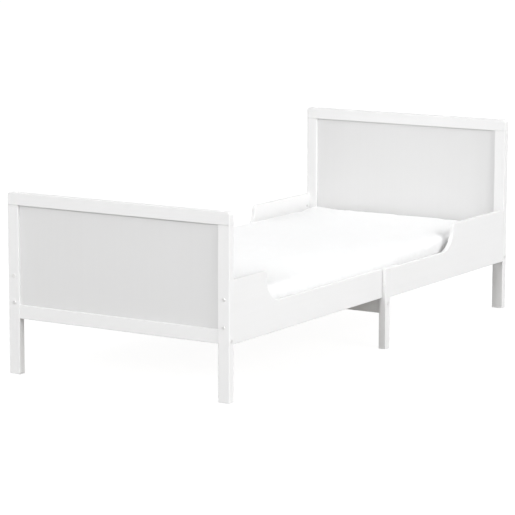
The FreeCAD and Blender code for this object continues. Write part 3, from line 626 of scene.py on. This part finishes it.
def make_strap(name):
    """Flat webbing that lies under the slats and sags a little between them."""
    low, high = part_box(name)
    first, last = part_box("slat_01"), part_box("slat_16")
    start, end = ((box[0].y + box[1].y) / 2 for box in (first, last))
    pitch = (end - start) / (SLAT_COUNT - 1)
    half_slat = (first[1].y - first[0].y) / 2
    along = np.linspace(low.y, high.y, STRAP_ROWS)
    from_slat = np.abs((along - start + pitch / 2) % pitch - pitch / 2)
    sag = STRAP_SAG * eased(from_slat, half_slat, pitch / 2) * (along > start) * (along < end)
    across = np.linspace(low.x, high.x, STRAP_COLUMNS)
    crown = STRAP_CROWN * (1 - ((across - across.mean()) / (high.x - low.x) * 2) ** 2)
    points = [(x, y, low.z - fall + rise) for y, fall in zip(along, sag) for x, rise in zip(across, crown)]
    points = np.array(points)
    starts = np.arange(STRAP_ROWS - 1)[:, None] * STRAP_COLUMNS + np.arange(STRAP_COLUMNS - 1)[None, :]
    starts = starts.reshape(-1)
    quads = np.c_[starts, starts + 1, starts + STRAP_COLUMNS + 1, starts + STRAP_COLUMNS]
    flat = points[quads][:, :, :2]
    strap = cloth_mesh(name.replace("slat_strap", "webbing_strap"), points, quads, flat, webbing)
    solid = strap.modifiers.new("thickness", "SOLIDIFY")
    solid.thickness = high.z - low.z - STRAP_SLACK
    solid.offset = 1.0
    apply(strap, solid)
    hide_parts(name)
    shortened(strap)


for side in ("left", "right"):
    make_strap(f"slat_strap_{side}")

# ------------------------------------------------------------------ floor, light and camera

STAGE_REACH = 60.0
DOME_RINGS, DOME_SIDES = 8, 32
DOME_FOOT = 1.0
HORIZON_LIGHT = 0.65
ZENITH_LIGHT = 0.52
LIGHT_TARGET = (0.0, 0.0, 0.3)
# Each softbox's name, place, width and height, and power in watts.
SOFTBOXES = (
    ("side_light", (13.5, -2.4, 7.0), (6.0, 6.0), 1340.0),
    ("front_light", (0.5, -13.6, 7.8), (5.0, 5.0), 1000.0),
    ("left_fill", (-14.0, 2.5, 3.9), (6.0, 4.0), 700.0),
    ("back_fill", (1.0, 14.4, 3.9), (6.0, 4.0), 700.0),
)
LENS = 171.08
SENSOR_WIDTH = 36.0
FARTHEST_VIEW = 200.0
EYE_PLACE = (4.698935, -7.699587, 1.807013)
EYE_ANGLES = (80.5524, -0.1169, 31.8188)


def stage_piece(name, points, quads, material):
    """A piece of the studio, which is not part of the bed."""
    mesh = bpy.data.meshes.new(name)
    mesh.from_pydata(points, [], quads)
    mesh.materials.append(material)
    piece = bpy.data.objects.new(name, mesh)
    bpy.context.scene.collection.objects.link(piece)
    return piece


def stage_floor(name, height, level, emission):
    """A matt floor of the given tone, which may glow a little."""
    material, tree, shader = new_material(name)
    tone = clouds(tree, own_place(tree), 1.5)
    tree.links.new(mixed(tree, tone, grey(level * 0.99), grey(level * 1.01)), shader.inputs["Base Color"])
    shader.inputs["Roughness"].default_value = 0.9
    shader.inputs["Specular IOR Level"].default_value = 0.2
    shader.inputs["Emission Color"].default_value = (1.0, 1.0, 1.0, 1.0)
    shader.inputs["Emission Strength"].default_value = emission
    far = STAGE_REACH
    corners = [(-far, -far, height), (far, -far, height), (far, far, height), (-far, far, height)]
    return stage_piece(name, corners, [(0, 1, 2, 3)], material)


def seen_only(piece):
    """The piece shows, but it sheds no light on the bed and casts no shadow."""
    piece.visible_diffuse = False
    piece.visible_glossy = False
    piece.visible_transmission = False
    piece.visible_shadow = False


def make_dome():
    """A white backdrop far beyond the bed, all round."""
    material, tree, shader = new_material("backdrop")
    shader.inputs["Base Color"].default_value = (0.0, 0.0, 0.0, 1.0)
    shader.inputs["Emission Color"].default_value = (1.0, 1.0, 1.0, 1.0)
    shader.inputs["Emission Strength"].default_value = 1.0
    points, quads = [], []
    for ring in range(DOME_RINGS + 1):
        rise = math.pi / 2 * ring / DOME_RINGS
        for side in range(DOME_SIDES):
            turn = 2 * math.pi * side / DOME_SIDES
            out = STAGE_REACH * math.cos(rise)
            up = STAGE_REACH * math.sin(rise) - DOME_FOOT
            points.append((out * math.cos(turn), out * math.sin(turn), up))
            if ring < DOME_RINGS:
                beside = (side + 1) % DOME_SIDES
                row, above = ring * DOME_SIDES, (ring + 1) * DOME_SIDES
                quads.append((row + side, row + beside, above + beside, above + side))
    return stage_piece("backdrop", points, quads, material)


def make_studio():
    """A backdrop and two floors: the unseen one lights the bed from below, and the paler one shows."""
    stage_floor("floor_light", -0.001, 0.45, 0.0).visible_camera = False
    seen_only(stage_floor("floor", 0.0, 0.12, 0.92))
    seen_only(make_dome())


def add_softbox(name, place, size, power):
    """A rectangular area light that faces the bed."""
    light = bpy.data.lights.new(name, "AREA")
    light.shape = "RECTANGLE"
    light.size, light.size_y = size
    light.energy = power
    lamp = bpy.data.objects.new(name, light)
    lamp.location = place
    lamp.rotation_mode = "QUATERNION"
    lamp.rotation_quaternion = (Vector(LIGHT_TARGET) - Vector(place)).to_track_quat("-Z", "Y")
    bpy.context.scene.collection.objects.link(lamp)


def light_scene():
    """Soft light all round, two bright softboxes at the right and the foot, and two dim ones opposite."""
    world = bpy.data.worlds.new("studio")
    world.use_nodes = True
    tree = world.node_tree
    background = tree.nodes["Background"]
    background.inputs["Color"].default_value = (1.0, 1.0, 1.0, 1.0)
    height = node(tree, "SeparateXYZ", {"Vector": node(tree, "TexCoord", {}, "Generated")}, "Z")
    tree.links.new(ranged(tree, height, HORIZON_LIGHT, ZENITH_LIGHT), background.inputs["Strength"])
    bpy.context.scene.world = world
    for softbox in SOFTBOXES:
        add_softbox(*softbox)


def aim_camera():
    """A long lens from beyond the right-hand foot corner, about a metre above the bed."""
    camera = bpy.data.cameras.new("camera")
    camera.lens = LENS
    camera.sensor_width = SENSOR_WIDTH
    camera.clip_end = FARTHEST_VIEW
    eye = bpy.data.objects.new("camera", camera)
    eye.location = EYE_PLACE
    eye.rotation_euler = Euler([math.radians(angle) for angle in EYE_ANGLES])
    bpy.context.scene.collection.objects.link(eye)
    bpy.context.scene.camera = eye
    bpy.context.scene.view_settings.view_transform = "Standard"


make_studio()
light_scene()
aim_camera()
